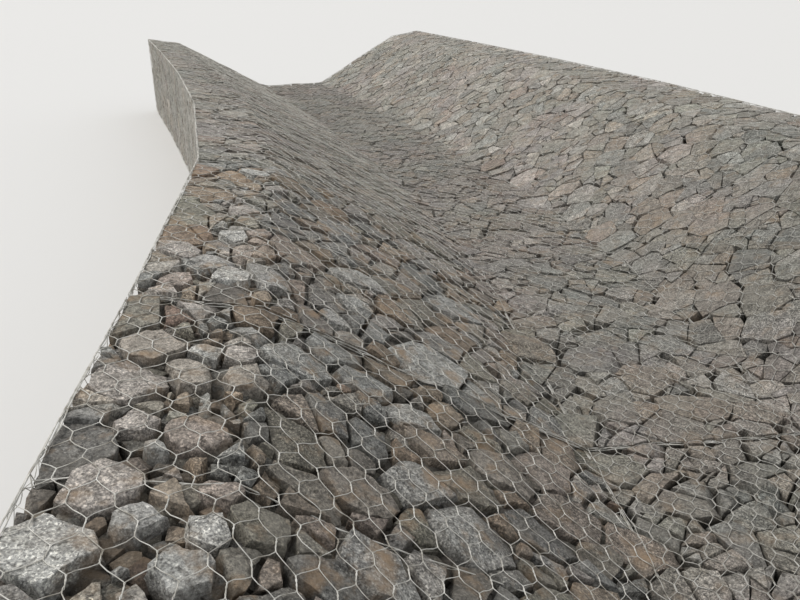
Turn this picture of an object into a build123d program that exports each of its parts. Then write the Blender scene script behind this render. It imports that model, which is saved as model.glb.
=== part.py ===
"""Gabion wall that lines a drainage channel: six bays of stone-filled wire cages.

Each bay is a left bank, a bed and a right bank. A bank has a flat crest, a vertical back
and a slope down to the bed, and every cage is divided in two by a diaphragm.
X runs across the channel, from the left bank to the right, Y runs along it and Z is up.
The underside is Z = 0 and the origin is the middle of the plan's bounding box.
"""
import os
from math import cos, radians, sin

from build123d import *

os.makedirs("parts", exist_ok=True)

# Cross section of the channel
crest_width = 450
crest_fall = 65
slope_run = 1220
slope_rise = 680
bed_width = 950
bed_depth = 300
fold_radius = 60

# Bays, measured along the front edge of the left crest, and the turn to the left before each
bay_length = 2000
bay_turns = (0, 1, 7.5, 4, 2, 1)
cells_per_cage = 2

# Edge wires of the cages, and the clearances round them
edge_wire = 4
wire_bevel = 1.1
mesh_skin = 2
corner_relief = 5.5
cage_gap = 0.3

crest_front = bed_depth + slope_rise
crest_back = crest_front + crest_fall
channel_middle = slope_run + bed_width / 2


def bank_points(drop=0):
    """Corners of the left bank across the channel, from its back edge underneath."""
    return [
        (-crest_width, -drop),
        (-crest_width, crest_back),
        (0, crest_front),
        (slope_run, bed_depth),
        (slope_run, -drop),
    ]


def right_bank_points(drop=0):
    """The left bank's corners mirrored about the middle of the channel."""
    return [(2 * channel_middle - x, z) for x, z in bank_points(drop)]


def bed_points(drop=0):
    """Corners of the bed cage, between the toes of the two banks."""
    near_toe = slope_run + cage_gap
    far_toe = slope_run + bed_width - cage_gap
    return [(near_toe, -drop), (near_toe, bed_depth), (far_toe, bed_depth), (far_toe, -drop)]


def along(heading):
    """Unit vector along a bay whose heading is turned to the left by so many degrees."""
    return Vector(-sin(radians(heading)), cos(radians(heading)), 0)


def across(heading):
    """Unit vector across the same bay, from the left bank to the right."""
    return Vector(cos(radians(heading)), sin(radians(heading)), 0)


# Headings of the bays, and the points of the left crest's front edge where they meet
headings = []
stations = [Vector(0, 0, 0)]
for turn in bay_turns:
    headings.append(turn + (headings[-1] if headings else 0))
    stations.append(stations[-1] + along(headings[-1]) * bay_length)

# Mean heading of the two bays that meet at each station, which the seam there is square to
seam_headings = [headings[0]]
for before, after in zip(headings, headings[1:]):
    seam_headings.append((before + after) / 2)
seam_headings.append(headings[-1])


def seam_edge(index, offset):
    """Point of a seam at a distance across the channel from the left crest's front edge."""
    bay = min(index, len(headings) - 1)
    stretch = cos(radians(seam_headings[index] - headings[bay]))
    return stations[index] + across(seam_headings[index]) * (offset / stretch)


# The plan's bounding box is centred on the origin
plan_corners = []
for index in range(len(stations)):
    plan_corners.append(seam_edge(index, -crest_width))
    plan_corners.append(seam_edge(index, 2 * channel_middle + crest_width))
plan_x = [corner.X for corner in plan_corners]
plan_y = [corner.Y for corner in plan_corners]
plan_middle = Vector((min(plan_x) + max(plan_x)) / 2, (min(plan_y) + max(plan_y)) / 2, 0)

bay_reach = 2 * bay_length + 2 * channel_middle


def section_plane(bay):
    """Plane across a bay: its x runs across the channel from the left fold and its y is up."""
    middle = (stations[bay] + stations[bay + 1]) * 0.5 - plan_middle
    return Plane(origin=middle, x_dir=across(headings[bay]), z_dir=-along(headings[bay]))


def seam_plane(index, shift=0):
    """Plane of a seam between two bays, facing along the channel and moved along by shift."""
    normal = along(seam_headings[index])
    return Plane(origin=stations[index] - plan_middle + normal * shift, z_dir=normal)


def middle_plane(bay, cell, shift=0):
    """Plane of the diaphragm before a cell of a bay, square to the bay."""
    share = cell / cells_per_cage
    middle = stations[bay] + (stations[bay + 1] - stations[bay]) * share - plan_middle
    return Plane(origin=middle + along(headings[bay]) * shift, z_dir=along(headings[bay]))


def cell_planes(bay):
    """Planes at the middle of each ring of edge wire along a bay: start, diaphragms and end."""
    half_wire = cage_gap / 2 + edge_wire / 2
    planes = [seam_plane(bay, half_wire)]
    for cell in range(1, cells_per_cage):
        planes.append(middle_plane(bay, cell))
    planes.append(seam_plane(bay + 1, -half_wire))
    return planes


def fold_corner(sketch, points):
    """The vertex of a bank's section where the crest turns down into the slope."""
    return sketch.vertices().sort_by_distance(points[2])[0]


def wire_ring(bay, points, plane, folded):
    """One closed loop of edge wire round a cage's section, half its width each side of a plane."""
    half_wire = edge_wire / 2
    with BuildPart() as ring:
        with BuildSketch(section_plane(bay)) as band:
            with BuildLine():
                Polyline(*points, close=True)
            make_face()
            if folded:
                fillet(fold_corner(band, points), fold_radius)
            offset(amount=-edge_wire, kind=Kind.INTERSECTION, mode=Mode.SUBTRACT)
        extrude(amount=bay_reach, both=True)
        split(bisect_by=plane.offset(-half_wire), keep=Keep.TOP)
        split(bisect_by=plane.offset(half_wire), keep=Keep.BOTTOM)
        loops = ring.edges().filter_by(lambda edge: edge.length > 2 * edge_wire)
        chamfer(loops, wire_bevel)
    return ring.part


def edge_bars(bay, points, planes, folded):
    """The edge wires that run the length of a cage, one at each corner but the fold."""
    with BuildSketch() as middle_line:
        with BuildLine():
            Polyline(*points, close=True)
        make_face()
        offset(amount=-edge_wire / 2, kind=Kind.INTERSECTION, mode=Mode.REPLACE)
    centres = middle_line.vertices()
    if folded:
        centres.remove(fold_corner(middle_line, points))
    with BuildPart() as bars:
        with BuildSketch(section_plane(bay)):
            with Locations(*[centre.center() for centre in centres]):
                RegularPolygon(edge_wire / 2, 6)
        extrude(amount=bay_reach, both=True)
        split(bisect_by=planes[0], keep=Keep.TOP)
        split(bisect_by=planes[-1], keep=Keep.BOTTOM)
    return bars.part


def stone_cell(bay, points, start, end, folded):
    """The stones between two rings of a cage, as one block that the edge wires lie against."""
    with BuildPart() as block:
        with BuildSketch(section_plane(bay)) as face:
            with BuildLine():
                Polyline(*points, close=True)
            make_face()
            offset(amount=-mesh_skin, kind=Kind.INTERSECTION, mode=Mode.REPLACE)
            wired_corners = face.vertices()
            if folded:
                wired_corners.remove(fold_corner(face, points))
            chamfer(wired_corners, corner_relief)
            if folded:
                fillet(fold_corner(face, points), fold_radius - mesh_skin)
        extrude(amount=bay_reach, both=True)
        split(bisect_by=start.offset(edge_wire / 2), keep=Keep.TOP)
        split(bisect_by=end.offset(-edge_wire / 2), keep=Keep.BOTTOM)
    return block.part


# The three strips of the channel: the corners of each one's section, and whether it has a fold
strips = {
    "left": (bank_points, True),
    "bed": (bed_points, False),
    "right": (right_bank_points, True),
}

for strip, (corners_of, folded) in strips.items():
    for bay in range(len(headings)):
        planes = cell_planes(bay)
        cells = [
            stone_cell(bay, corners_of(mesh_skin), start, end, folded)
            for start, end in zip(planes, planes[1:])
        ]
        with BuildPart() as stones:
            add(cells)
        stones.part.label = f"{strip}_stones_{bay + 1}"
        export_step(stones.part, f"parts/{stones.part.label}.step")

        rings = [wire_ring(bay, corners_of(), plane, folded) for plane in planes]
        long_edges = edge_bars(bay, corners_of(), planes, folded)
        with BuildPart() as wires:
            add(rings)
            add(long_edges)
        wires.part.label = f"{strip}_cage_{bay + 1}"
        export_step(wires.part, f"parts/{wires.part.label}.step")
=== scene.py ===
import math
import random
from itertools import product

import bmesh
import bpy
import numpy as np
from mathutils import Matrix, Vector, noise
from mathutils.bvhtree import BVHTree


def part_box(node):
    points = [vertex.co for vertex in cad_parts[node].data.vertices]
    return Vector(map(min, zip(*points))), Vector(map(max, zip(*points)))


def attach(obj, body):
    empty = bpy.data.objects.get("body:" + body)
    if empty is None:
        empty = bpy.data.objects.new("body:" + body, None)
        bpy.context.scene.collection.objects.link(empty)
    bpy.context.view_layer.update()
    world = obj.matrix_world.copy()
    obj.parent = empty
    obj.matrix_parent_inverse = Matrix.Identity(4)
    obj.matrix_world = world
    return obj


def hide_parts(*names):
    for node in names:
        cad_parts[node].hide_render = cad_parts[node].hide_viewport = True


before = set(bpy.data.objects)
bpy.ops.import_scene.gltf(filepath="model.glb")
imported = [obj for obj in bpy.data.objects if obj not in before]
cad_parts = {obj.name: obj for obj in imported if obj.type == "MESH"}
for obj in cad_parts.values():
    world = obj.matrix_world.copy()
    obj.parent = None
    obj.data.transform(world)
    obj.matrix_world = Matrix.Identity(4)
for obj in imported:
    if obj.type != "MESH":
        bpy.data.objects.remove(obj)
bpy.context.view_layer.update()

# Rubble of the crest, slopes and bed
# Angular quarried stone, tipped into the cages and hand packed at the face: bulky and loose on the left
# bank, flatter and closely fitted on the bed and the right bank. Each cage holds its own stones.
noise.seed_set(1)
crest_width = 0.45
crest_fall = 0.065
fold_radius = 0.06
toe_radius = 0.14
face_setback = 0.009
seam_setback = 0.003
layer_depth = 0.085
walk_step = 0.002
upward = np.array((0.0, 0.0, 1.0))
bay_count = sum(name.startswith("bed_cage_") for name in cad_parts)

left_low, left_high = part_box("left_cage_1")
crest_back = left_high.z
bed_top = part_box("bed_cage_1")[1].z
slope_run = left_high.x - left_low.x - crest_width
slope_rise = crest_back - crest_fall - bed_top
bed_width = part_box("right_cage_1")[0].x - left_high.x
crest_tilt = math.atan(crest_fall / crest_width)
slope_tilt = math.atan(slope_rise / slope_run)
crest_length = math.hypot(crest_width, crest_fall)
slope_length = math.hypot(slope_run, slope_rise)


def walk_across():
    """The section walked from the left back edge to the right: distance, x, z and downward tilt."""
    runs = [
        (crest_length, crest_tilt), (slope_length, slope_tilt), (bed_width, 0.0),
        (slope_length, -slope_tilt), (crest_length, -crest_tilt),
    ]
    bends = [fold_radius, toe_radius, toe_radius, fold_radius]
    marks, tilts = [0.0], [runs[0][1]]
    walked = 0.0
    for (length, tilt), (_, next_tilt), radius in zip(runs, runs[1:], bends):
        walked += length
        turn = abs(next_tilt - tilt)
        marks += [walked - radius * turn / 2, walked + radius * turn / 2]
        tilts += [tilt, next_tilt]
    marks.append(walked + runs[-1][0])
    tilts.append(runs[-1][1])
    distance = np.arange(0.0, marks[-1] + walk_step, walk_step)
    tilt = np.interp(distance, marks, tilts)
    step = np.diff(distance, prepend=0.0)
    x, z = np.cumsum(np.cos(tilt) * step), np.cumsum(np.sin(tilt) * step)
    full_width = 2 * (crest_width + slope_run) + bed_width
    return distance, x * full_width / x[-1] - crest_width, crest_back - z, tilt


walk, walk_x, walk_z, walk_tilt = walk_across()
fold_walk = crest_length
toe_walk = fold_walk + slope_length
far_toe_walk = toe_walk + bed_width


def read_bay(number):
    """Plan of a bay from its left cage: its ways along and across, its fold and its two seams."""
    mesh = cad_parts[f"left_cage_{number}"].data
    places = np.array([vertex.co for vertex in mesh.vertices])
    ends = np.array([edge.vertices for edge in mesh.edges])
    spans = places[ends[:, 1]] - places[ends[:, 0]]
    level = (np.abs(spans[:, 2]) < 1e-5) & (np.abs(spans[:, 0]) > 0.9 * (crest_width + slope_run))
    level_spans = spans[level]
    # The diaphragm's loop is the one that runs square across, so its long wires are the shortest
    square = level_spans[np.argmin(np.linalg.norm(level_spans, axis=1))]
    across = square / np.linalg.norm(square) * np.sign(square[0])
    along = np.array([-across[1], across[0], 0.0])
    side, forward = places @ across, places @ along
    back, toe, corner = side.min(), side.max(), 0.003
    seams = []
    for pick in (np.min, np.max):
        at_back = pick(forward[side < back + corner])
        at_toe = pick(forward[side > toe - corner])
        slant = (at_toe - at_back) / (toe - back)
        seams.append((at_back + slant * crest_width, slant))
    fold = back + crest_width
    return {"along": along, "across": across, "fold": fold, "start": seams[0], "end": seams[1]}


bays = [read_bay(number) for number in range(1, bay_count + 1)]


def seam_at(bay, end, side):
    """How far along a bay its start or end lies, at a distance across from the left fold."""
    at_fold, slant = bay[end]
    return at_fold + slant * side


def reach_of(bay):
    """The nearest and furthest that a bay reaches."""
    ends = [seam_at(bay, end, side) for end in ("start", "end") for side in (walk_x[0], walk_x[-1])]
    return min(ends), max(ends)


def setbacks_of(number):
    """How far a bay's stones stop short of its start and end, more at the ends of the wall."""
    return [face_setback if outer else seam_setback for outer in (number == 1, number == bay_count)]


def lay_on_face(bay, flat):
    """Places of flat points: walked distance, way along the bay and height above the face."""
    tilt = np.interp(flat[:, 0], walk, walk_tilt)
    side = np.interp(flat[:, 0], walk, walk_x) + flat[:, 2] * np.sin(tilt)
    height = np.interp(flat[:, 0], walk, walk_z) + flat[:, 2] * np.cos(tilt)
    level = np.outer(side + bay["fold"], bay["across"]) + np.outer(flat[:, 1], bay["along"])
    return level + np.outer(height, upward)


def seam_cuts(bay, walked, setbacks):
    """The planes that end a bay's stones at a walked distance: flat points and outward normals."""
    x = np.interp(walked, walk, walk_x)
    cosine = math.cos(np.interp(walked, walk, walk_tilt))
    cuts = []
    for (at_fold, slant), outward, setback in zip((bay["start"], bay["end"]), (-1, 1), setbacks):
        normal = Vector((-slant * cosine, 1, 0)).normalized() * outward
        cuts.append((Vector((walked, at_fold + slant * x, 0)) - normal * setback, normal))
    return cuts


def waver(along, pitch, second, third):
    """Smooth noise from -1 to 1 along a line."""
    return np.array([noise.noise(Vector((at * pitch, second, third))) for at in along])


def wander(walked, seam):
    """How far a seam between bays, or a diaphragm, strays along the channel."""
    return waver(walked, 3.2, seam * 9.1, 0) * 0.034 + waver(walked, 11, seam * 9.1, 4) * 0.014


stray_reach = 0.25
stray_walk = np.arange(-1.2, walk[-1] + 1.2, 0.02)
seam_strays = [wander(stray_walk, seam) for seam in range(1, bay_count + 2)]
seam_strays[0] *= 0
seam_strays[-1] *= 0


def stray_at_seams(number, flat):
    """How far flat points of a bay move along the channel, so that its seams wander."""
    bay = bays[number - 1]
    x = np.interp(flat[:, 0], walk, walk_x)
    shift = np.zeros(len(flat))
    for (at_fold, slant), stray in zip((bay["start"], bay["end"]), seam_strays[number - 1:number + 1]):
        gap = np.abs(flat[:, 1] - at_fold - slant * x)
        shift += np.interp(flat[:, 0], stray_walk, stray) * np.clip(1 - gap / stray_reach, 0, 1)
    return shift


throws = 14
closeness = 0.86


def scatter_stones(draw, low, high, sizes, inside, stretch, kept=()):
    """Stones thrown on a face round those kept, the largest first: place and radius of each."""
    area = (high[0] - low[0]) * (high[1] - low[1])
    supply = int(area / (2.0 * sizes[2] ** 2))
    wanted = sorted((draw.triangular(*sizes) for _ in range(supply)), reverse=True)
    count = len(kept)
    placed = np.zeros((count + len(wanted), 3))
    if count:
        placed[:count] = kept
    for radius in wanted:
        for _ in range(throws):
            spot = (draw.uniform(low[0], high[0]), draw.uniform(low[1], high[1]))
            if not inside(*spot):
                continue
            gaps = np.hypot((placed[:count, 0] - spot[0]) / stretch, placed[:count, 1] - spot[1])
            if count == 0 or np.all(gaps > (placed[:count, 2] + radius) * closeness):
                placed[count] = (*spot, radius)
                count += 1
                break
    return placed[:count]


def cut_away(stone, point, normal):
    """Cuts a stone by a plane, keeps what lies behind it and closes the cut."""
    parts = stone.verts[:] + stone.edges[:] + stone.faces[:]
    cut = bmesh.ops.bisect_plane(
        stone, geom=parts, dist=1e-5, plane_co=point, plane_no=normal, clear_outer=True,
    )
    rim = [part for part in cut["geom_cut"] if isinstance(part, bmesh.types.BMEdge)]
    if len(rim) > 2:
        bmesh.ops.contextual_create(stone, geom=rim)


def leaning(out, lean):
    """A level way out, tipped upwards."""
    return out * math.cos(lean) + Vector((0, 0, math.sin(lean)))


def fill_cell(draw, spot, near, clips, habit):
    """A block that fills the room between a stone's neighbours and the cage."""
    x, y, radius = spot
    depth, stretch = habit["depth"], habit["stretch"]
    block = bmesh.new()
    reach = radius * 3.4 * stretch
    shape = Matrix.Translation((x, y, -depth / 2)) @ Matrix.Diagonal((reach, reach, depth, 1))
    bmesh.ops.create_cube(block, size=1.0, matrix=shape)
    for other_x, other_y, other_radius in near:
        away = Vector(((other_x - x) / stretch, other_y - y, 0))
        distance = away.length
        squares = distance * distance + radius * radius - other_radius * other_radius
        share = squares / (2 * distance * distance)
        middle = Vector((x + (other_x - x) * share, y + (other_y - y) * share, -depth))
        normal = Vector((away.x / stretch, away.y, 0)).normalized()
        lean = math.radians(draw.uniform(*habit["lean"]))
        middle -= normal * habit["joint"] * draw.uniform(0.3, 1.0)
        cut_away(block, middle, leaning(normal, lean))
    for point, normal in clips:
        cut_away(block, point, normal)
    return block


def square_off(draw, block, spot, habit):
    """Cuts a block down to a few nearly upright sides, as a quarried stone has."""
    x, y, radius = spot
    sides, first = draw.randint(*habit["sides"]), draw.uniform(0, math.tau)
    for side in range(sides):
        turn = first + (side + draw.uniform(-0.28, 0.28)) * math.tau / sides
        lean = math.radians(draw.uniform(*habit["side_lean"]))
        reach = radius * draw.uniform(*habit["side_reach"])
        point = Vector((x + math.cos(turn) * reach * habit["stretch"], y + math.sin(turn) * reach, -0.03))
        out = Vector((math.cos(turn) / habit["stretch"], math.sin(turn), 0)).normalized()
        cut_away(block, point, leaning(out, lean))


def break_up(draw, block, habit, chance):
    """Breaks a block across its longer side in two, and some of the halves again."""
    if not block.verts or draw.random() > chance:
        return [block]
    places = np.array([vertex.co for vertex in block.verts])
    middle = Vector(places.mean(axis=0))
    turns = [draw.uniform(0, math.pi) for _ in range(3)]
    ways = [Vector((math.cos(turn), math.sin(turn), 0)) for turn in turns]
    if habit["grain_way"] is not None:
        ways = [(way * 0.35 + Vector(habit["grain_way"])).normalized() for way in ways]
    lengths = [np.ptp(places @ np.array(way)) for way in ways]
    way = ways[int(np.argmax(lengths))]
    if max(lengths) < habit["least"] * 2:
        return [block]
    middle += way * max(lengths) * draw.uniform(-0.16, 0.16)
    middle.z = -habit["depth"]
    halves = []
    for side in (-1, 1):
        half, out = block.copy(), way * side
        lean = math.radians(draw.uniform(*habit["lean"]))
        gap = habit["joint"] * draw.uniform(0.3, 1.0)
        cut_away(half, middle - out * gap, leaning(out, lean))
        halves += break_up(draw, half, habit, chance * habit["again"])
    block.free()
    return halves


def dress_stone(draw, stone, habit):
    """Gives a block a broken face: a few broad facets, then corners knocked off at its rim."""
    places = np.array([vertex.co for vertex in stone.verts])
    middle = Vector(places.mean(axis=0))
    middle.z = 0
    for cuts, tilts, reaches, knock_drop in (
        (habit["facets"], habit["tilt"], (0.0, 0.5), 0.0),
        (habit["knocks"], habit["knock_tilt"], habit["knock_reach"], 0.025),
    ):
        for _ in range(draw.randint(*cuts)):
            turn = draw.uniform(0, math.tau)
            out = Vector((math.cos(turn), math.sin(turn), 0))
            reach = max((places - np.array(middle)) @ np.array(out))
            tilt = math.radians(draw.uniform(*tilts))
            point = middle + out * reach * draw.uniform(*reaches)
            if knock_drop:
                point.z = draw.uniform(-knock_drop, 0.0)
            cut_away(stone, point, out * math.sin(tilt) + Vector((0, 0, math.cos(tilt))))


def warp(place):
    """How far the joints between stones wander at a flat place; neighbours wander together."""
    return noise.noise_vector(place * 9) * 0.012 + noise.noise_vector(place * 27) * 0.005


def wear_stone(draw, stone, habit):
    """Wears a stone's sharp edges, roughens its faces, and sinks it a little below the netting."""
    bmesh.ops.remove_doubles(stone, verts=stone.verts[:], dist=0.003)
    bmesh.ops.dissolve_degenerate(stone, edges=stone.edges[:], dist=0.0015)
    if len(stone.faces) < 4:
        return False
    floor_level = 0.006 - habit["depth"]
    upper = [edge for edge in stone.edges if min(vertex.co.z for vertex in edge.verts) > floor_level]
    if habit["wear"]:
        bmesh.ops.bevel(
            stone, geom=upper, offset=draw.uniform(*habit["wear"]), affect="EDGES",
            segments=1, profile=0.5, material=-1, clamp_overlap=True,
        )
        bmesh.ops.remove_doubles(stone, verts=stone.verts[:], dist=0.0006)
    for face in stone.faces:
        face.smooth = True
    for edge in stone.edges:
        edge.smooth = edge.calc_face_angle(math.pi) < habit["crease"]
    for _ in range(habit["cuts"]):
        bmesh.ops.triangulate(stone, faces=stone.faces[:])
        long_edges = [edge for edge in stone.edges if edge.calc_length() > habit["grain"]
                      and max(vertex.co.z for vertex in edge.verts) > floor_level]
        bmesh.ops.subdivide_edges(stone, edges=long_edges, cuts=1, use_grid_fill=True)
    if habit["cuts"]:
        bmesh.ops.triangulate(stone, faces=stone.faces[:])
    own = next(iter(stone.verts)).co * 41
    for vertex in stone.verts:
        stray = noise.noise_vector(vertex.co * 13 + own) * habit["stray"]
        shift = warp(vertex.co) + Vector((stray.x, stray.y, 0))
        shift.z *= 0.4
        if habit["cuts"]:
            rough = noise.noise_vector(vertex.co * 62) + noise.noise_vector(vertex.co * 30) * 1.3
            shift += rough * habit["rough"]
        vertex.co += shift * habit["loosen"]
    highest = max(vertex.co.z for vertex in stone.verts)
    sink = draw.uniform(*habit["sink"])
    bmesh.ops.translate(stone, verts=stone.verts[:], vec=(0, 0, -highest - sink))
    return True


def heap_of(draw, spots, wanted, clips_of, habit_of, kept=0):
    """A heap of stones as one mesh, flat, with how many faces each has and whose spot it lies on."""
    heap = bmesh.new()
    scratch = bpy.data.meshes.new("one_stone")
    faces = []
    for index in wanted:
        spot = spots[index]
        habit = dict(habit_of(spot), **standing_out) if index < kept else habit_of(spot)
        gaps = np.hypot((spots[:, 0] - spot[0]) / habit["stretch"], spots[:, 1] - spot[1]) - spots[:, 2]
        order = [other for other in np.argsort(gaps)[:15] if other != index]
        near = [spots[other] for other in order if gaps[other] < spot[2] * 2.6]
        block = fill_cell(draw, spot, near, clips_of(spot), habit)
        if index < kept:
            square_off(draw, block, spot, habit)
        for stone in break_up(draw, block, habit, habit["breaks"]):
            if len(stone.verts) > 3:
                dress_stone(draw, stone, habit)
            if len(stone.verts) > 3 and wear_stone(draw, stone, habit):
                stone.to_mesh(scratch)
                faces.append((len(scratch.polygons), index))
                heap.from_mesh(scratch)
            stone.free()
    bpy.data.meshes.remove(scratch)
    return heap, faces


loose_habit = {
    "depth": layer_depth, "joint": 0.006, "lean": (2, 12), "facets": (2, 4), "tilt": (10, 38),
    "knocks": (0, 2), "knock_tilt": (30, 80), "knock_reach": (0.6, 0.9), "stretch": 1.0,
    "breaks": 0.92, "again": 0.72, "grain_way": None, "least": 0.05, "wear": (0.0005, 0.0014),
    "cuts": 0, "grain": 0.026, "rough": 0.0038, "sink": (0.004, 0.022), "crease": math.radians(12),
    "loosen": 1.0, "stray": 0.004,
}
slope_habit = dict(
    loose_habit, joint=0.0045, lean=(1, 8), facets=(1, 3), tilt=(5, 24), knock_tilt=(40, 80),
    knock_reach=(0.66, 0.94), stretch=1.45, grain_way=(0, 1, 0), breaks=0.8, again=0.62,
    sink=(0.004, 0.016),
)
near_slope_habit = dict(slope_habit, grain_way=None, stretch=1.3, breaks=0.7, again=0.55, least=0.06)
rim_habit = dict(
    loose_habit, joint=0.003, lean=(0, 3), facets=(1, 2), tilt=(3, 16), knocks=(0, 1), breaks=0.5,
    again=0.5, sink=(0.004, 0.012),
)
small_habit = dict(
    loose_habit, depth=0.05, joint=0.002, lean=(0, 8), facets=(1, 2), tilt=(14, 42), knocks=(0, 1),
    breaks=0.0, sink=(0.03, 0.046), wear=None,
)
bed_habit = dict(
    loose_habit, joint=0.0018, lean=(0, 4), facets=(1, 3), tilt=(2, 14), knocks=(1, 4), breaks=0.8,
    again=0.6, sink=(0.004, 0.014), stray=0.006,
)
fitted_habit = dict(
    bed_habit, joint=0.0006, lean=(0, 1.5), tilt=(1, 10), knocks=(2, 5), knock_tilt=(58, 86),
    knock_reach=(0.78, 0.97), breaks=0.75, stray=0.007,
)
standing_out = {
    "breaks": 0.0, "facets": (1, 3), "tilt": (4, 18), "knocks": (0, 2), "knock_tilt": (40, 80),
    "knock_reach": (0.75, 0.95), "sink": (0.002, 0.006), "joint": 0.004,
    "sides": (4, 5), "side_lean": (4, 16), "side_reach": (0.76, 1.08),
}
close_up_bays = 1
worn_bays = 2
far_relief = 0.55
rim_width = 0.11


def bay_habit(number, spot):
    """How the stones at a spot lie: loose on the left bank, long down its slope, fitted elsewhere."""
    if spot[0] < rim_width:
        habit = dict(rim_habit)
    elif spot[0] < fold_walk and number <= close_up_bays:
        habit = dict(loose_habit, tilt=(4, 26))
    elif spot[0] < fold_walk:
        habit = dict(loose_habit, tilt=(3, 20), joint=0.0035, lean=(0, 6), sink=(0.004, 0.014))
    elif spot[0] < toe_walk:
        habit = dict(near_slope_habit if number <= worn_bays else slope_habit)
    else:
        habit = dict(bed_habit if spot[0] < far_toe_walk else fitted_habit)
    if number <= close_up_bays:
        habit.update(cuts=2 if spot[0] < toe_walk else 1, crease=math.radians(34))
    elif number <= worn_bays:
        habit.update(crease=math.radians(22))
    else:
        habit.update(wear=None)
    if number > worn_bays or (number > close_up_bays and spot[0] > toe_walk):
        habit.update(joint=habit["joint"] * far_relief, lean=(0, habit["lean"][1] * far_relief),
                     tilt=(2, habit["tilt"][1] * far_relief))
    return habit


# Stones that stand out on the near bays: walked distance, way along, radius and look. A look is a
# stone's tone, its shade and how strongly its grain shows.
pale_grey, blue_grey, chalky = (0.17, 1.24, 0.75), (0.49, 1.2, 0.45), (0.17, 1.3, 0.55)
tan, buff, brown = (0.38, 1.05, 0.35), (0.6, 1.08, 0.65), (0.94, 0.88, 0.4)
pinkish, olive, orange = (0.8, 1.0, 0.6), (0.28, 1.1, 0.4), (0.91, 1.1, 0.4)
landmarks = [
    (0.108, 0.79, 0.105, pale_grey), (0.155, 0.99, 0.085, buff), (0.252, 0.885, 0.055, blue_grey),
    (0.3, 0.968, 0.038, orange), (0.415, 0.85, 0.053, pale_grey), (0.372, 0.735, 0.068, blue_grey),
    (0.418, 0.985, 0.055, pinkish), (0.52, 0.905, 0.068, olive), (0.19, 1.245, 0.048, buff),
    (0.252, 1.14, 0.034, blue_grey), (0.335, 1.205, 0.085, pinkish), (0.12, 1.45, 0.105, buff),
    (0.28, 1.515, 0.07, tan), (0.143, 1.66, 0.095, tan), (0.305, 1.645, 0.045, pale_grey),
    (0.415, 1.64, 0.055, buff), (0.44, 1.505, 0.07, tan), (0.59, 1.72, 0.1, pale_grey),
    (0.725, 1.91, 0.085, blue_grey), (0.85, 1.755, 0.085, blue_grey), (0.81, 0.91, 0.085, pale_grey),
    (0.8, 1.17, 0.092, tan), (0.985, 1.295, 0.095, pale_grey), (1.135, 1.17, 0.12, pale_grey),
    (1.345, 1.57, 0.1, tan), (1.0, 1.675, 0.08, pale_grey), (1.155, 1.78, 0.07, orange),
    (0.11, 2.49, 0.085, buff), (0.405, 2.76, 0.06, pinkish), (0.32, 2.265, 0.085, pale_grey),
    (0.475, 2.3, 0.09, chalky), (0.465, 2.1, 0.04, orange), (0.135, 2.17, 0.065, pinkish),
    (0.105, 2.06, 0.045, buff), (0.3, 2.73, 0.065, pale_grey), (0.32, 3.09, 0.07, buff),
    (0.335, 3.8, 0.07, chalky), (0.46, 3.55, 0.055, buff), (0.74, 2.15, 0.055, pale_grey),
    (0.85, 2.395, 0.07, pale_grey), (0.88, 2.73, 0.11, pale_grey), (0.955, 2.06, 0.06, brown),
    (1.15, 2.15, 0.15, chalky), (1.35, 2.55, 0.105, brown), (1.46, 2.96, 0.13, blue_grey),
]


def new_piece(name, mesh, slot, *nodes):
    """A finished mesh as a piece that rides on the wall and stands for some of its solids."""
    piece = bpy.data.objects.new(name, mesh)
    bpy.context.scene.collection.objects.link(piece)
    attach(piece, "root")
    if nodes:
        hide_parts(*nodes)
    return piece


rubble_pieces = []


def stone_piece(name, node, heap, faces, lay, tones, paleness, soil_and_shade_share, looks=()):
    """Lays a flat heap in its place, with a tone, shade and grain for each stone."""
    mesh = bpy.data.meshes.new(name)
    heap.to_mesh(mesh)
    heap.free()
    flat = np.zeros(len(mesh.vertices) * 3)
    mesh.vertices.foreach_get("co", flat)
    flat = flat.reshape(-1, 3)
    mesh.vertices.foreach_set("co", lay(flat).ravel())
    # Soil and painted shade in the joints: more than 20 mm below the face, a stone darkens towards near
    # black
    soiled_and_shaded = np.clip((-flat[:, 2] - 0.02) / 0.04, 0, 1) * soil_and_shade_share(flat)
    mesh.attributes.new("depth", "FLOAT", "POINT").data.foreach_set("value", soiled_and_shaded)
    corners = np.zeros(len(mesh.polygons), dtype=int)
    mesh.polygons.foreach_get("loop_start", corners)
    around = np.zeros(len(mesh.loops), dtype=int)
    mesh.loops.foreach_get("vertex_index", around)
    spans = {"tone": (0, 1), "shade": (0.8, 1.22), "grain": (0.3, 1)}
    for column, (kind, span) in enumerate(spans.items()):
        values = []
        for count, index in faces:
            value = tones.uniform(*span)
            values += [looks[index][column] if index < len(looks) else value] * count
        values = np.array(values)
        if kind == "shade":
            values += np.clip(values - 1.18, 0, 0.04) * 6
            values *= paleness(flat[around[corners]])
        mesh.attributes.new(kind, "FLOAT", "FACE").data.foreach_set("value", values)
    mesh.update()
    rubble_pieces.append(new_piece(name, mesh, "rubble_stone", node))


def strip_of(walked):
    """Which strip of the wall a walked distance is on."""
    return "left" if walked < toe_walk else "bed" if walked < far_toe_walk else "right"


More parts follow.
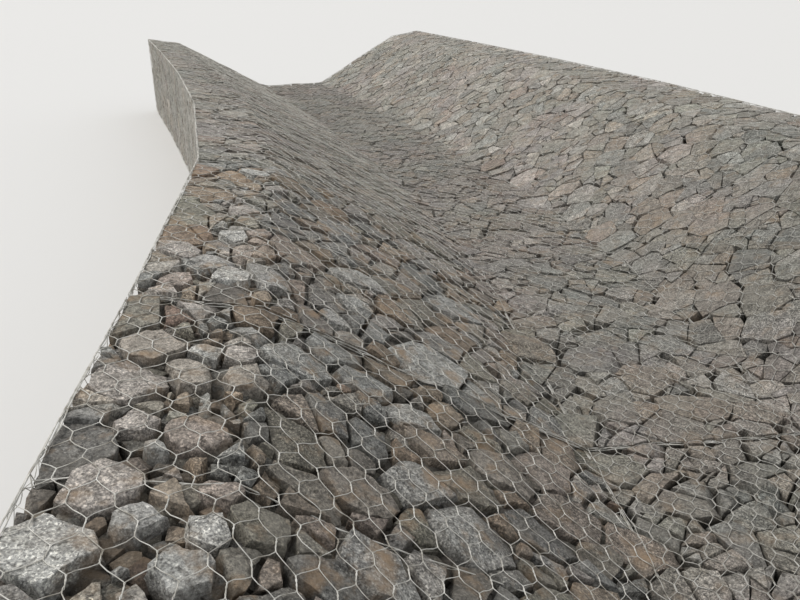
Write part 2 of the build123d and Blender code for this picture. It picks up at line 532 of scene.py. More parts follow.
def drape_grid(heap, low, high):
    """A grid over a flat heap, with the height at which the netting rests on it."""
    tree = BVHTree.FromBMesh(heap)
    step = 0.02
    grid_x = np.arange(low[0] - step, high[0] + 2 * step, step)
    grid_y = np.arange(low[1] - step, high[1] + 2 * step, step)
    heights = np.full((len(grid_x), len(grid_y)), -0.02)
    for i, x in enumerate(grid_x):
        for j, y in enumerate(grid_y):
            hit = tree.ray_cast(Vector((x, y, 0.1)), Vector((0, 0, -1)), 0.13)
            if hit[0] is not None:
                heights[i, j] = hit[0].z

    def spread(levels, how):
        shifted = [np.roll(levels, (by_x, by_y), (0, 1)) for by_x in (-1, 0, 1) for by_y in (-1, 0, 1)]
        return how(shifted, axis=0)

    touched = spread(heights, np.max)
    taut = spread(spread(spread(touched, np.max), np.mean), np.mean)
    return {"x": grid_x, "y": grid_y, "height": spread(np.maximum(taut, touched), np.mean)}


# How pale the stone is, by strip across the wall and by bay from the near end: palest on the crest,
# darker on the slope and the bed, and darker at the near end of the slope and the right bank
pale_blend = 0.05
pale_walk = [at + side * pale_blend for at in (fold_walk, toe_walk, far_toe_walk) for side in (-1, 1)]
pale_bays = (0.5, 1.5, 2.5, 4.0, 6.0)
pale_crest, pale_slope = (0.8, 0.76, 0.75, 0.74, 0.74), (0.48, 0.58, 0.67, 0.69, 0.7)
pale_bed, pale_right = (0.54, 0.59, 0.59, 0.55, 0.52), (0.47, 0.52, 0.74, 0.85, 0.84)
# How much soil and painted shade darken the joints from the crest to the right bank, on the first bay
# and past it
soil_and_shade_walk = (fold_walk, toe_walk, far_toe_walk, far_toe_walk + 0.4)
soil_and_shade_near, soil_and_shade_far = (0.9, 1.0, 0.9, 0.45), (0.45, 0.55, 0.3, 0.15)


def paleness_at(walked, travelled):
    """How pale the stone is, by place across the wall and bays from the near end."""
    shares = (pale_crest, pale_slope, pale_bed, pale_right)
    table = np.array([np.interp(travelled, pale_bays, share) for share in shares])
    across = np.interp(walked, pale_walk, (0, 1, 1, 2, 2, 3))
    zone = np.clip(across.astype(int), 0, 2)
    here, place = across - zone, np.arange(len(walked))
    return table[zone, place] * (1 - here) + table[zone + 1, place] * here


def soil_and_shade_within(gaps):
    """Share of the soil and painted shade kept at some gaps from the open edges, where rain washes
    the joints and light reaches into them.
    """
    return np.clip(np.min(gaps, axis=0) / 0.05 - 0.3, 0, 1)


rim_room = 0.004
middle_room = 0.03
# The small stones deep between the larger ones are made darker: painted shade
small_painted_shade = 0.72
drapes = []
for number, bay in enumerate(bays, 1):
    draw = random.Random(100 + number)
    first, last = reach_of(bay)
    low, high = (0.0, first), (walk[-1], last)

    def inside(walked, forward):
        x = np.interp(walked, walk, walk_x)
        return seam_at(bay, "start", x) + middle_room < forward < seam_at(bay, "end", x) - middle_room

    def clips_of(spot):
        clips = seam_cuts(bay, spot[0], setbacks_of(number))
        for edge, out in ((face_setback, -1), (walk[-1] - face_setback, 1)):
            clips.append((Vector((edge, 0, 0)), Vector((out, 0, -math.tan(crest_tilt))).normalized()))
        return clips

    # How strongly soil and painted shade darken the joints here, less at the cage's open edges
    def soil_and_shade_share(flat):
        gaps = [flat[:, 0], walk[-1] - flat[:, 0]]
        if number == 1:
            gaps.append(flat[:, 1] - bay["start"][0])
        if number == bay_count:
            gaps.append(bay["end"][0] - flat[:, 1])
        spread = np.interp(flat[:, 0], soil_and_shade_walk, soil_and_shade_near if number <= close_up_bays else soil_and_shade_far)
        return spread * soil_and_shade_within(gaps)

    def lay_in_cage(flat):
        flat = flat.copy()
        upright = rim_room - flat[:, 2] * math.tan(crest_tilt)
        flat[:, 0] = np.clip(flat[:, 0], upright, walk[-1] - upright)
        if number == 1:
            flat[:, 1] = np.maximum(flat[:, 1], bay["start"][0] + rim_room)
        if number == bay_count:
            flat[:, 1] = np.minimum(flat[:, 1], bay["end"][0] - rim_room)
        return lay_on_face(bay, flat)

    def paleness(flat):
        return paleness_at(flat[:, 0], number - 1 + (flat[:, 1] - low[1]) / (high[1] - low[1]))

    def follow_seams(heap):
        places = np.array([vertex.co for vertex in heap.verts])
        for vertex, shift in zip(heap.verts, stray_at_seams(number, places)):
            vertex.co.y += shift

    length = bay["end"][0] - bay["start"][0]
    marks = [mark for mark in landmarks if number - 1 <= mark[1] / length < number]
    from_start = bay["start"][0] - (number - 1) * length
    kept = [(walked, from_start + forward, radius) for walked, forward, radius, _ in marks]
    looks = [look for *_, look in marks]
    spots = scatter_stones(draw, low, high, (0.03, 0.125, 0.075), inside, 1.15, kept)
    whole = bmesh.new()
    scratch = bpy.data.meshes.new("strip")
    for strip in ("left", "bed", "right"):
        chosen = [i for i, spot in enumerate(spots) if strip_of(spot[0]) == strip]
        heap, faces = heap_of(
            draw, spots, chosen, clips_of, lambda spot: bay_habit(number, spot), len(kept))
        follow_seams(heap)
        heap.to_mesh(scratch)
        whole.from_mesh(scratch)
        stone_piece(f"{strip}_rubble_{number}", f"{strip}_stones_{number}", heap, faces, lay_in_cage,
                    draw, paleness, soil_and_shade_share, looks)
    if number <= worn_bays:
        spots = scatter_stones(draw, low, (toe_walk, high[1]), (0.016, 0.045, 0.028), inside, 1.0)
        heap, faces = heap_of(draw, spots, range(len(spots)), clips_of, lambda spot: small_habit)
        follow_seams(heap)
        stone_piece(f"left_small_rubble_{number}", f"left_stones_{number}", heap, faces, lay_in_cage,
                    draw, lambda flat: paleness(flat) * small_painted_shade, soil_and_shade_share)
    drapes.append(drape_grid(whole, low, high))
    whole.free()
    bpy.data.meshes.remove(scratch)


# Rubble of the backs and the two ends
# The same stone, hand packed against the upright netting so that it stands; larger and plainer than the
# face. It starts below the top layer, whose cut sides show along the crest.
panel_depth = 0.07
panel_foot = 0.008
panel_gap = 0.004
panel_paleness = 0.74


def stone_panel(name, node, seed, corner, ways, size, clips, habit):
    """Stones packed in an upright panel: its corner, two ways and outward way, clipped by planes."""
    draw = random.Random(seed)
    first, second, outward = ways

    def inside(x, y):
        return all((Vector((x, y, 0)) - point).dot(normal) < -0.02 for point, normal in clips)

    def lay(flat):
        over, up = np.outer(flat[:, 0], first), np.outer(flat[:, 1], second)
        return corner + over + up + np.outer(flat[:, 2], outward)

    # How strongly soil and painted shade darken the joints, less at the panel's edges
    def soil_and_shade_share(flat):
        return soil_and_shade_within([(np.array(point) - flat) @ np.array(normal) for point, normal in clips])

    spots = scatter_stones(draw, (0, 0), size, (0.05, 0.12, 0.07), inside, habit["stretch"])
    heap, faces = heap_of(draw, spots, range(len(spots)), lambda spot: clips, lambda spot: habit)
    stone_piece(name, node, heap, faces, lay, draw, lambda flat: panel_paleness, soil_and_shade_share)


def edge_clip(x, y, normal_x, normal_y, normal_out=0.0):
    """A clipping plane of a panel, through a point of its edge."""
    return Vector((x, y, 0)), Vector((normal_x, normal_y, normal_out)).normalized()


panel_habit = dict(
    fitted_habit, depth=panel_depth, joint=0.003, facets=(1, 2), knocks=(1, 3), breaks=0.35, wear=None,
    loosen=0.35, stray=0.006,
)
back_top = crest_back - layer_depth - panel_gap
for number, bay in enumerate(bays, 1):
    for strip, side, out in (("left", walk_x[0], -1), ("right", walk_x[-1], 1)):
        foot = bay["across"] * (bay["fold"] + side)
        near_setback, far_setback = setbacks_of(number)
        first = seam_at(bay, "start", side) + near_setback
        last = seam_at(bay, "end", side) - far_setback
        if out < 0:
            corner, ways = foot, (upward, bay["along"], -bay["across"])
            low_end, high_end = panel_foot, back_top
        else:
            corner, ways = foot + upward * crest_back, (-upward, bay["along"], bay["across"])
            low_end, high_end = crest_back - back_top, crest_back - panel_foot
        clips = [
            edge_clip(low_end, 0, -1, 0), edge_clip(high_end, 0, 1, 0),
            edge_clip(0, 0, 0, -1, bay["start"][1] * out),
            edge_clip(0, last - first, 0, 1, -bay["end"][1] * out),
        ]
        stone_panel(f"{strip}_back_rubble_{number}", f"{strip}_stones_{number}", 500 + number + 50 * out,
                    corner + bay["along"] * first, ways, (crest_back, last - first), clips,
                    dict(panel_habit, stretch=0.8))

for name, number, out in (("near", 1, -1), ("far", bay_count, 1)):
    bay = bays[number - 1]
    at_fold = bay["start" if out < 0 else "end"][0]
    corner = bay["along"] * at_fold + bay["across"] * bay["fold"]
    ways = (bay["across"], upward, -bay["along"]) if out < 0 else (upward, bay["across"], bay["along"])
    toe, far_toe, far_back = slope_run, slope_run + bed_width, walk_x[-1]
    crest_out = (math.sin(crest_tilt), math.cos(crest_tilt))
    slope_out = (math.sin(slope_tilt), math.cos(slope_tilt))
    drop = layer_depth + panel_gap
    outlines = {
        "left": [(walk_x[0] + panel_depth + face_setback, 0, -1, 0), (toe - seam_setback, 0, 1, 0),
                 (-crest_width, crest_back - drop, *crest_out), (slope_run, bed_top - drop, *slope_out)],
        "bed": [(toe + seam_setback, 0, -1, 0), (far_toe - seam_setback, 0, 1, 0),
                (toe, bed_top - drop, 0, 1)],
        "right": [(far_back - panel_depth - face_setback, 0, 1, 0), (far_toe + seam_setback, 0, -1, 0),
                  (far_back, crest_back - drop, -crest_out[0], crest_out[1]),
                  (far_toe, bed_top - drop, -slope_out[0], slope_out[1])],
    }
    for strip, edges in outlines.items():
        edges_x = [x for x, _, way_x, _ in edges if way_x]
        low_x = min(edges_x)
        clips = []
        for x, z, way_x, way_z in edges + [(0, panel_foot, 0, -1)]:
            x -= low_x
            clips.append(edge_clip(x, z, way_x, way_z) if out < 0 else edge_clip(z, x, way_z, way_x))
        span = (max(edges_x) - low_x, crest_back)
        stone_panel(f"{name}_{strip}_end_rubble", f"{strip}_stones_{number}",
                    700 + number + 10 * ord(strip[0]), corner + bay["across"] * low_x, ways,
                    span if out < 0 else span[::-1], clips, dict(panel_habit, stretch=1.0))

# Filling behind the face
# The smaller stone and dust that fill the cages behind the stones that show: one rough mass a bay, seen
# only as the dark bottom of the joints. It has no tone or shade of its own and renders black: painted
# shade.
filling_depth = 0.08
filling_lump = 0.012
filling_pieces = []
for number, bay in enumerate(bays, 1):
    filling = bmesh.new()
    bmesh.ops.create_grid(filling, x_segments=36, y_segments=12, size=0.5)
    near_inset = panel_depth if number == 1 else 0.0
    far_inset = panel_depth if number == bay_count else 0.0
    for vertex in filling.verts:
        walked = panel_depth + (vertex.co.x + 0.5) * (walk[-1] - 2 * panel_depth)
        x = np.interp(walked, walk, walk_x)
        start = seam_at(bay, "start", x) + near_inset
        stop = seam_at(bay, "end", x) - far_inset
        forward = start + (vertex.co.y + 0.5) * (stop - start)
        lump = noise.noise(Vector((walked * 9, forward * 9, number))) * filling_lump
        vertex.co = lay_on_face(bay, np.array([(walked, forward, -filling_depth + lump)]))[0]
    sunk = bmesh.ops.extrude_face_region(filling, geom=filling.faces[:])
    for part in sunk["geom"]:
        if isinstance(part, bmesh.types.BMVert):
            part.co.z = panel_foot
    bmesh.ops.recalc_face_normals(filling, faces=filling.faces[:])
    mesh = bpy.data.meshes.new(f"filling_{number}")
    filling.to_mesh(mesh)
    filling.free()
    nodes = [f"{strip}_stones_{number}" for strip in ("left", "bed", "right")]
    filling_pieces.append(new_piece(mesh.name, mesh, "rubble_stone", *nodes))


# Stone finish
# Mixed granite and sandstone rubble from one quarry: speckled greys, tans and pinks, with soil, stone dust
# and painted shade low in the joints. Each stone has one tone and one grain.
# The last colour is near black: soil and painted shade low in the joints
dust, iron_stain, soil_and_shade = (0.30, 0.275, 0.235, 1), (0.33, 0.235, 0.15, 1), (0.045, 0.039, 0.031, 1)
crystal_scale = 210


def new_finish(name):
    """A new material, with its node tree and its shader."""
    finish = bpy.data.materials.new(name)
    finish.use_nodes = True
    return finish, finish.node_tree, finish.node_tree.nodes["Principled BSDF"]


def attribute(tree, name):
    """A value that each stone keeps in its mesh."""
    node = tree.nodes.new("ShaderNodeAttribute")
    node.attribute_name = name
    return node.outputs["Fac"]


def place_of(tree):
    """The piece's own coordinates."""
    node = tree.nodes.get("Texture Coordinate") or tree.nodes.new("ShaderNodeTexCoord")
    return node.outputs["Object"]


def grain(tree, scale, detail, roughness=0.6):
    """Noise over a piece."""
    node = tree.nodes.new("ShaderNodeTexNoise")
    for socket, value in (("Scale", scale), ("Detail", detail), ("Roughness", roughness)):
        node.inputs[socket].default_value = value
    tree.links.new(place_of(tree), node.inputs["Vector"])
    return node.outputs["Fac"]


def ramp(tree, source, stops):
    """A colour for each level of a source, where one number stands for a grey."""
    node = tree.nodes.new("ShaderNodeValToRGB")
    band = node.color_ramp
    while len(band.elements) < len(stops):
        band.elements.new(0.5)
    for element, (at, colour) in zip(band.elements, stops):
        element.position = at
        element.color = (*(colour if isinstance(colour, tuple) else [colour] * 3), 1)
    tree.links.new(source, node.inputs["Fac"])
    return node.outputs["Color"]


def blend(tree, mode, amount, first, second):
    """Two colours joined; the amount and the colours are values or come from other nodes."""
    node = tree.nodes.new("ShaderNodeMix")
    node.data_type = "RGBA"
    node.blend_type = mode
    for socket, value in zip((node.inputs[0], node.inputs[6], node.inputs[7]), (amount, first, second)):
        if isinstance(value, bpy.types.NodeSocket):
            tree.links.new(value, socket)
        else:
            socket.default_value = value
    return node.outputs[2]


def stone_finish(name, variety):
    """Speckled stone whose tones differ stone to stone by its variety, with dust, rust, soil and painted
    shade.
    """
    finish, tree, shader = new_finish(name)
    shader.inputs["Specular IOR Level"].default_value = 0.3
    tones = ramp(tree, attribute(tree, "tone"), [
        (0.00, (0.20, 0.18, 0.16)), (0.07, (0.29, 0.295, 0.285)), (0.17, (0.42, 0.42, 0.405)),
        (0.28, (0.35, 0.33, 0.27)), (0.38, (0.49, 0.44, 0.385)), (0.49, (0.36, 0.365, 0.355)),
        (0.60, (0.53, 0.485, 0.45)), (0.70, (0.37, 0.36, 0.29)), (0.80, (0.47, 0.395, 0.35)),
        (0.91, (0.44, 0.36, 0.275)), (0.975, (0.40, 0.29, 0.205)), (0.998, (0.27, 0.18, 0.14)),
    ])
    patches = ramp(tree, grain(tree, 1.3, 3), [
        (0.38, (0.385, 0.40, 0.37)), (0.5, (0.41, 0.395, 0.36)), (0.62, (0.42, 0.375, 0.36)),
    ])
    rock = blend(tree, "MIX", variety, patches, tones)
    mottle = ramp(tree, grain(tree, 19, 7, 0.65), [(0.3, (0.58, 0.57, 0.55)), (0.7, (1.35, 1.34, 1.32))])
    crystals = tree.nodes.new("ShaderNodeTexVoronoi")
    crystals.inputs["Scale"].default_value = crystal_scale
    tree.links.new(place_of(tree), crystals.inputs["Vector"])
    specks = ramp(tree, crystals.outputs["Color"], [
        (0.0, (0.2, 0.2, 0.21)), (0.32, 0.75), (0.6, (1.05, 1.05, 1.04)), (0.88, (2.0, 1.98, 1.93)),
    ])
    coarse = ramp(tree, grain(tree, 105, 3, 0.8), [(0.36, 0.42), (0.5, 1), (0.64, (1.5, 1.49, 1.46))])
    pits = ramp(tree, grain(tree, 48, 4, 0.75), [(0.37, (0.4, 0.39, 0.38)), (0.48, 1.02)])
    for amount, layer in (
        (1.0, attribute(tree, "shade")), (1.0, mottle), (attribute(tree, "grain"), specks),
        (0.85, coarse), (0.85, pits),
    ):
        rock = blend(tree, "MULTIPLY", amount, rock, layer)
    dusty = ramp(tree, grain(tree, 7, 5), [(0.45, 0), (0.72, 0.4)])
    stained = ramp(tree, grain(tree, 9, 6), [(0.53, 0), (0.72, variety)])
    # The depth attribute darkens the joints towards near black: soil and painted shade
    for amount, colour in ((dusty, dust), (stained, iron_stain), (attribute(tree, "depth"), soil_and_shade)):
        rock = blend(tree, "MIX", amount, rock, colour)
    tree.links.new(rock, shader.inputs["Base Color"])
    rough = ramp(tree, grain(tree, 60, 2), [(0.3, 0.78), (0.7, 0.95)])
    tree.links.new(rough, shader.inputs["Roughness"])
    dents, pores = tree.nodes.new("ShaderNodeBump"), tree.nodes.new("ShaderNodeBump")
    for bump, scale, detail, height in ((dents, 26, 6, 0.012), (pores, 95, 5, 0.004)):
        bump.inputs["Distance"].default_value = height
        tree.links.new(grain(tree, scale, detail, 0.7), bump.inputs["Height"])
    tree.links.new(dents.outputs["Normal"], pores.inputs["Normal"])
    tree.links.new(pores.outputs["Normal"], shader.inputs["Normal"])
    return finish


mixed_rubble = stone_finish("mixed_rubble", 0.85)
even_rubble = stone_finish("even_rubble", 0.42)
# The filling has no stone attributes, so it renders black: painted shade deep in the joints
for piece in rubble_pieces + filling_pieces:
    mixed = piece.name.startswith(("left_rubble_1", "left_rubble_2", "left_small"))
    piece.data.materials.append(mixed_rubble if mixed else even_rubble)


# Hexagonal netting
# Galvanised wire, 2.7 mm thick, woven by machine: neighbouring wires are twisted together three half
# turns and parted again, which leaves six-sided openings. The bed's netting has a finer mesh.
wire_radius = 0.00135
bank_mesh = {"gap": 0.1, "row": 0.08, "twist": 0.04}
bed_mesh = {"gap": 0.076, "row": 0.061, "twist": 0.03}
bank_steps = round(toe_walk / (bank_mesh["gap"] / 2))
bank_mesh["gap"] = toe_walk / bank_steps * 2
back_steps = int((crest_back - 0.015) / (bank_mesh["gap"] / 2))
bed_steps = round(bed_width / (bed_mesh["gap"] / 2))
bed_mesh["gap"] = bed_width / bed_steps * 2
corner_room = 0.0045


def height_on(grid, x, y):
    """Height of the draped netting at flat points."""
    step = grid["x"][1] - grid["x"][0]
    i = np.clip((x - grid["x"][0]) / step, 0, len(grid["x"]) - 1.001)
    j = np.clip((y - grid["y"][0]) / step, 0, len(grid["y"]) - 1.001)
    i0, j0 = i.astype(int), j.astype(int)
    fi, fj = i - i0, j - j0
    h = grid["height"]
    near_side = h[i0, j0] * (1 - fj) + h[i0, j0 + 1] * fj
    far_side = h[i0 + 1, j0] * (1 - fj) + h[i0 + 1, j0 + 1] * fj
    return near_side * (1 - fi) + far_side * fi


def lay_on_cage(bay, flat):
    """As lay_on_face, with distances before and past the two crests laid down the backs."""
    on_top = np.clip(flat[:, 0], corner_room, walk[-1] - corner_room)
    placed = lay_on_face(bay, np.column_stack([on_top, flat[:, 1], flat[:, 2]]))
    for past, side, out in ((-flat[:, 0], walk_x[0], -1), (flat[:, 0] - walk[-1], walk_x[-1], 1)):
        behind = past > 0
        across = bay["fold"] + side + out * flat[behind, 2]
        placed[behind] = (np.outer(across, bay["across"]) + np.outer(flat[behind, 1], bay["along"])
                          + np.outer(crest_back - corner_room - past[behind], upward))
    return placed


def crooked(walked, forward, seed):
    """How far the netting is pulled out of true at a flat point."""
    pull = noise.noise_vector(Vector((walked * 3.1, forward * 3.1, seed * 7.7)))
    kink = noise.noise_vector(Vector((walked * 17, forward * 17, seed * 3.3)))
    return pull * 0.02 + kink * 0.009


def net_wire(mesh, step, lean, rows, turning, spans):
    """The flat line of one wire: twisted with its neighbours in turn, each row a half gap over."""
    line = []
    half_gap, row_pitch, twist_length = mesh["gap"] / 2, mesh["row"], mesh["twist"]
    for row in range(rows):
        over = step + (lean if row % 2 else 0)
        middle = row * row_pitch
        side = (1 if lean > 0 else -1) * (1 if row % 2 == 0 else -1)
        for share in np.linspace(0, 1, turning + 1):
            turn = share * math.pi * 3 if turning > 1 else 0.0
            reach = wire_radius * 1.05
            line.append((over * half_gap + side * reach * math.cos(turn),
                         middle + (share - 0.5) * twist_length, reach * math.sin(turn) * side))
        next_over = step + (lean if (row + 1) % 2 else 0)
        for share in np.arange(1, spans) / spans:
            eased = share * share * (3 - 2 * share)
            line.append(((over + (next_over - over) * (share + eased) / 2) * half_gap,
                         middle + twist_length / 2 + (row_pitch - twist_length) * share, 0.0))
    return line


def wire_piece(name, lines, radius, sides, *nodes):
    """Bent wires as one piece, with so many sides to their round section."""
    curve = bpy.data.curves.new(name, "CURVE")
    curve.dimensions = "3D"
    curve.bevel_depth = radius
    curve.bevel_resolution = sides // 2 - 2
    curve.use_fill_caps = True
    for line, closed in lines:
        spline = curve.splines.new("POLY")
        spline.points.add(len(line) - 1)
        spline.points.foreach_set("co", np.column_stack([line, np.ones(len(line))]).ravel())
        spline.use_cyclic_u = closed
    bend = bpy.data.objects.new("bend", curve)
    bpy.context.scene.collection.objects.link(bend)
    mesh = bpy.data.meshes.new_from_object(bend.evaluated_get(bpy.context.evaluated_depsgraph_get()))
    mesh.materials.clear()
    bpy.data.objects.remove(bend)
    bpy.data.curves.remove(curve)
    mesh.shade_smooth()
    return new_piece(name, mesh, "galvanised_wire", *nodes)


net_sink = 0.0045
back_sink = 0.0055
nets = {
    "left": (bank_mesh, 0.0, -back_steps, bank_steps),
    "bed": (bed_mesh, toe_walk, 0, bed_steps),
    "right": (bank_mesh, far_toe_walk, 0, bank_steps + back_steps),
}
fine_spans = {"left_1": 3, "left_2": 2, "bed_1": 2}
net_pieces = []
for number, bay in enumerate(bays, 1):
    nearest, furthest = reach_of(bay)
    for strip, (mesh, origin, first, last) in nets.items():
        rows = int((furthest - nearest) / mesh["row"]) + 2
        turning = 4 if number == 1 and strip == "left" else 1
        spans = fine_spans.get(f"{strip}_{number}", 1)
        wires = []
        for step, lean in product(range(first + first % 2, last + 1, 2), (-1, 1)):
            lean = lean if first <= step + lean <= last else 0
            flat = np.array(net_wire(mesh, step, lean, rows, turning, spans))
            flat[:, 0] += origin
            flat[:, 1] += nearest - mesh["row"] / 2
            outside = (flat[:, 0] < 0) | (flat[:, 0] > walk[-1])
            pulls = np.array([crooked(x, y, number) for x, y, _ in flat])
            edge = np.minimum(np.abs(flat[:, 0]), np.abs(flat[:, 0] - walk[-1]))
            flat[:, 0] += pulls[:, 0] * np.clip(edge / 0.1, 0.15, 1)
            flat[:, 1] += pulls[:, 1]
            rest = height_on(drapes[number - 1], flat[:, 0], flat[:, 1]) + wire_radius
            flat[:, 2] += np.where(outside, -back_sink, np.minimum(rest, -net_sink))
            x = np.interp(flat[:, 0], walk, walk_x)
            starts = seam_at(bay, "start", x) + seam_setback
            stops = seam_at(bay, "end", x) - seam_setback
            keep = (flat[:, 1] > starts - mesh["row"] / 2) & (flat[:, 1] < stops + mesh["row"] / 2)
            flat = flat[keep]
            flat[:, 1] = np.clip(flat[:, 1], starts[keep], stops[keep])
            flat[:, 1] += stray_at_seams(number, flat)
            wires.append((lay_on_cage(bay, flat), False))
        net_pieces.append(wire_piece(f"{strip}_netting_{number}", wires, wire_radius, 4))


# Edge wires and lacing of the cages
# A thicker wire, 4 mm, closes every edge of the netting: a loop at each end of a cage, one at the
# diaphragm and one along each corner. A lacing wire is wound round the pair wherever two edges meet.
edge_radius = 0.002
edge_step = 0.05
loop_shift = 0.0026
toe_sink = 0.012
seam_sink = 0.013
corner_inset = 0.0035
foot_walk = crest_back - corner_inset - corner_room
selvedge_strands = 3
selvedge_step = 0.07
selvedge_middle = 0.006
selvedge_roam = 0.017


def edge_line(number, walked, forward, sunk=0.0):
    """An edge wire's points along the cage, resting on the stones or sunk a little between them."""
    flat = np.column_stack([walked, forward, np.zeros(len(walked))])
    outside = (flat[:, 0] <= 0.006) | (flat[:, 0] >= walk[-1] - 0.006)
    rest = height_on(drapes[number - 1], flat[:, 0], flat[:, 1]) + edge_radius - sunk
    flat[:, 2] = np.where(outside, -0.006, np.minimum(rest, -0.003))
    return flat


def seam_forward(bay, end, walked):
    """How far along the bay the wire of a seam, or of the diaphragm, lies at a walked distance."""
    x = np.interp(walked, walk, walk_x)
    if end == "middle":
        return (bay["start"][0] + bay["end"][0]) / 2 + 0.0 * x
    return seam_at(bay, end, x) + (loop_shift if end == "start" else -loop_shift)


def along_edge(bay, walked, step, room=0.0):
    """Steps along a bay at a walked distance, from its start to its end."""
    near, far = (seam_forward(bay, end, walked) for end in ("start", "end"))
    return np.arange(near + room, far - room, step)


def foot_of(bay, end, x):
    """Where the wires of a seam or the diaphragm turn underneath, at a distance across."""
    forward = seam_forward(bay, end, np.interp(x, walk_x, walk))
    return bay["across"] * (bay["fold"] + x) + bay["along"] * forward + upward * corner_inset


def rings_of(number):
    """The seams of a bay and its diaphragm: which one, where it strays, and whether it ends the wall."""
    for end, seam in (("start", number), ("middle", number + 0.5), ("end", number + 1)):
        yield end, seam, seam in (1, bay_count + 1)


strips = {
    "left": (-foot_walk, toe_walk, walk_x[0] + corner_inset, slope_run - loop_shift, (0.0, toe_walk)),
    "bed": (toe_walk, far_toe_walk, slope_run + loop_shift, slope_run + bed_width - loop_shift,
            (toe_walk, far_toe_walk)),
    "right": (far_toe_walk, walk[-1] + foot_walk, slope_run + bed_width + loop_shift,
              walk_x[-1] - corner_inset, (far_toe_walk, walk[-1])),
}
edge_pieces = []
for number, bay in enumerate(bays, 1):
    for strip, (first, last, foot_x, far_foot_x, corners) in strips.items():
        loops = []
        for end, seam, outer in rings_of(number):
            bends = [at for at in (0.0, walk[-1], last) if first < at <= last]
            walked = np.unique(np.concatenate([np.arange(first, last, edge_step), bends]))
            forward = seam_forward(bay, end, walked) + (0.0 if outer else wander(walked, seam))
            top = lay_on_cage(bay, edge_line(number, walked, forward, 0.0 if outer else seam_sink))
            feet = [foot_of(bay, end, x) for x in (far_foot_x, foot_x)]
            loops.append((np.vstack([top, feet]), True))
        for corner in corners:
            forward = along_edge(bay, corner, edge_step)
            inward = loop_shift if corner == first or corner == 0.0 else -loop_shift
            sway = np.array([noise.noise(Vector((corner * 3, at * 2.2, 7))) * 0.012 for at in forward])
            if corner in (0.0, walk[-1]):
                sway = np.abs(sway) * np.sign(inward)
            walked = np.full(len(forward), corner) + inward + sway
            sunk = toe_sink if corner in (toe_walk, far_toe_walk) else 0.0
            loops.append((lay_on_cage(bay, edge_line(number, walked, forward, sunk)), False))
        for strand in range(0 if strip == "bed" else selvedge_strands):
            forward = along_edge(bay, corners[strip == "right"], selvedge_step)
            walked = selvedge_middle + selvedge_roam * waver(forward, 4.3, strand * 5.7, number)
            walked = walked if strip == "left" else walk[-1] - walked
            loops.append((lay_on_cage(bay, edge_line(number, walked, forward)), False))
        for x in (foot_x, far_foot_x):
            loops.append((np.array([foot_of(bay, end, x) for end in ("start", "end")]), False))
        name = f"{strip}_edge_wires_{number}"
        edge_pieces.append(wire_piece(name, loops, edge_radius, 6, f"{strip}_cage_{number}"))

lacing_radius = 0.0011
lacing_pitch = 0.09
lacing_points = 5
lacing_drop = 0.0035
lacing_inset = 0.009
lacing_room = 0.02
foot_room = 0.06
winding_radius = 0.0052
end_inset = 0.0045
laced_edges = ((0.0, lacing_inset), (toe_walk, 0.0), (far_toe_walk, 0.0), (walk[-1], -lacing_inset))


def wind_round(bay, flat):
    """A lacing wire wound round an edge of a bay in a loose spiral, a little uneven."""
    flat[:, 2] -= lacing_drop
    line = lay_on_cage(bay, flat)
    steps = np.linalg.norm(np.diff(line, axis=0), axis=1)
    travelled = np.concatenate([[0], np.cumsum(steps)])
    count = max(4, int(travelled[-1] / lacing_pitch * lacing_points))
    places = np.linspace(0, travelled[-1], count)
    centre = np.column_stack([np.interp(places, travelled, line[:, axis]) for axis in range(3)])
    ahead = np.gradient(centre, axis=0)
    ahead /= np.linalg.norm(ahead, axis=1)[:, None]
    side = np.cross(ahead, upward)
    side[np.linalg.norm(side, axis=1) < 0.2] = (1.0, 0.0, 0.0)
    side /= np.linalg.norm(side, axis=1)[:, None]
    up = np.cross(side, ahead)
    turn = places / lacing_pitch * math.tau + waver(places, 9, 1, 1) * 1.4
    sideways, upwards = winding_radius * np.cos(turn), winding_radius * 0.8 * np.sin(turn)
    return centre + side * sideways[:, None] + up * upwards[:, None], False


lacings = []
for number, bay in enumerate(bays, 1):
    windings = []
    for end, seam, outer in rings_of(number):
        if end == "end" and not outer:
            continue
        walked = np.arange(foot_room - foot_walk, walk[-1] + foot_walk - foot_room, edge_step)
        stray = (end_inset if end == "start" else -end_inset) if outer else wander(walked, seam)
        forward = seam_forward(bay, end, walked) + stray
        windings.append(wind_round(bay, edge_line(number, walked, forward, 0.0 if outer else seam_sink)))
    for corner, inward in laced_edges:
        forward = along_edge(bay, corner, edge_step, lacing_room)
        walked = np.full(len(forward), corner + inward)
        windings.append(wind_round(bay, edge_line(number, walked, forward, 0.0 if inward else toe_sink)))
    lacings.append(wire_piece(f"lacing_{number}", windings, lacing_radius, 4))


# Wire finish
# Hot-dipped zinc gone dull and pale, with white bloom, and a little soil and rust where it rubs. The
# wires of the bed and the right bank are more soiled.
zinc_stops = ((0.34, (0.31, 0.285, 0.24)), (0.48, (0.53, 0.515, 0.47)), (0.7, (0.74, 0.725, 0.68)))


def wire_finish(name, shade):
    """Zinc in patches, as pale as its shade."""
    finish, tree, shader = new_finish(name)
    stops = [(at, tuple(part * shade for part in colour)) for at, colour in zinc_stops]
    tree.links.new(ramp(tree, grain(tree, 24, 5, 0.5), stops), shader.inputs["Base Color"])
    shader.inputs["Metallic"].default_value = 0.25
    shader.inputs["Roughness"].default_value = 0.55
    return finish


weathered_zinc, soiled_zinc = wire_finish("weathered_zinc", 1.0), wire_finish("soiled_zinc", 0.85)
for piece in net_pieces + edge_pieces + lacings:
    piece.data.materials.append(soiled_zinc if piece.name.startswith(("bed", "right")) else weathered_zinc)


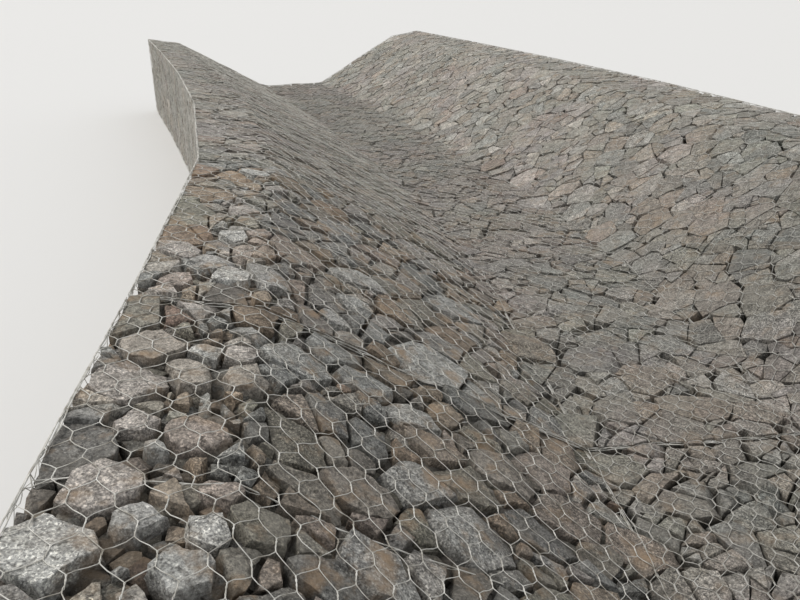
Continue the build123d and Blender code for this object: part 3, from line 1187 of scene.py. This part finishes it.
# Floor, light and camera
# A pale painted floor under an even overcast sky and a high soft sun, with a plain backdrop that only
# the camera and reflections see. The camera stands over the near end of the left crest.
ground = bmesh.new()
bmesh.ops.create_grid(ground, x_segments=1, y_segments=1, size=60)
bmesh.ops.translate(ground, verts=ground.verts[:], vec=(0, 30, -0.001))
floor_mesh = bpy.data.meshes.new("floor")
ground.to_mesh(floor_mesh)
ground.free()
floor = bpy.data.objects.new("floor", floor_mesh)
bpy.context.scene.collection.objects.link(floor)
paint, _, coat = new_finish("floor_paint")
coat.inputs["Base Color"].default_value = (0.72, 0.71, 0.69, 1)
coat.inputs["Roughness"].default_value = 0.9
floor_mesh.materials.append(paint)

world = bpy.data.worlds.new("overcast")
world.use_nodes = True
air = world.node_tree.nodes
sky = air["Background"]
sky.inputs["Color"].default_value = (0.93, 0.96, 1.0, 1)
sky.inputs["Strength"].default_value = 0.68
backdrop = air.new("ShaderNodeBackground")
backdrop.inputs["Color"].default_value = (0.8, 0.8, 0.79, 1)
rays = air.new("ShaderNodeLightPath")
seen = air.new("ShaderNodeMath")
seen.operation = "MAXIMUM"
choice = air.new("ShaderNodeMixShader")
for source, target in (
    (rays.outputs["Is Camera Ray"], seen.inputs[0]), (rays.outputs["Is Glossy Ray"], seen.inputs[1]),
    (seen.outputs[0], choice.inputs[0]), (sky.outputs[0], choice.inputs[1]),
    (backdrop.outputs[0], choice.inputs[2]), (choice.outputs[0], air["World Output"].inputs["Surface"]),
):
    world.node_tree.links.new(source, target)
bpy.context.scene.world = world
lamp = bpy.data.lights.new("soft_sun", "SUN")
lamp.energy = 1.9
lamp.angle = math.radians(24)
lamp.color = (1.0, 0.97, 0.93)
sun = bpy.data.objects.new("soft_sun", lamp)
sun.rotation_euler = Vector((-0.55, 0.35, 0.8)).to_track_quat("Z", "Y").to_euler()
bpy.context.scene.collection.objects.link(sun)

yaw, pitch = math.radians(6.07), math.radians(23.82)
lens = bpy.data.cameras.new("camera")
lens.sensor_width = 36
lens.lens = 34.26
eye = bpy.data.objects.new("camera", lens)
eye.location = (-0.592, -6.849, 2.052)
eye.rotation_euler = (math.pi / 2 - pitch, 0, -yaw)
bpy.context.scene.collection.objects.link(eye)
bpy.context.scene.camera = eye
bpy.context.scene.view_settings.view_transform = "Standard"
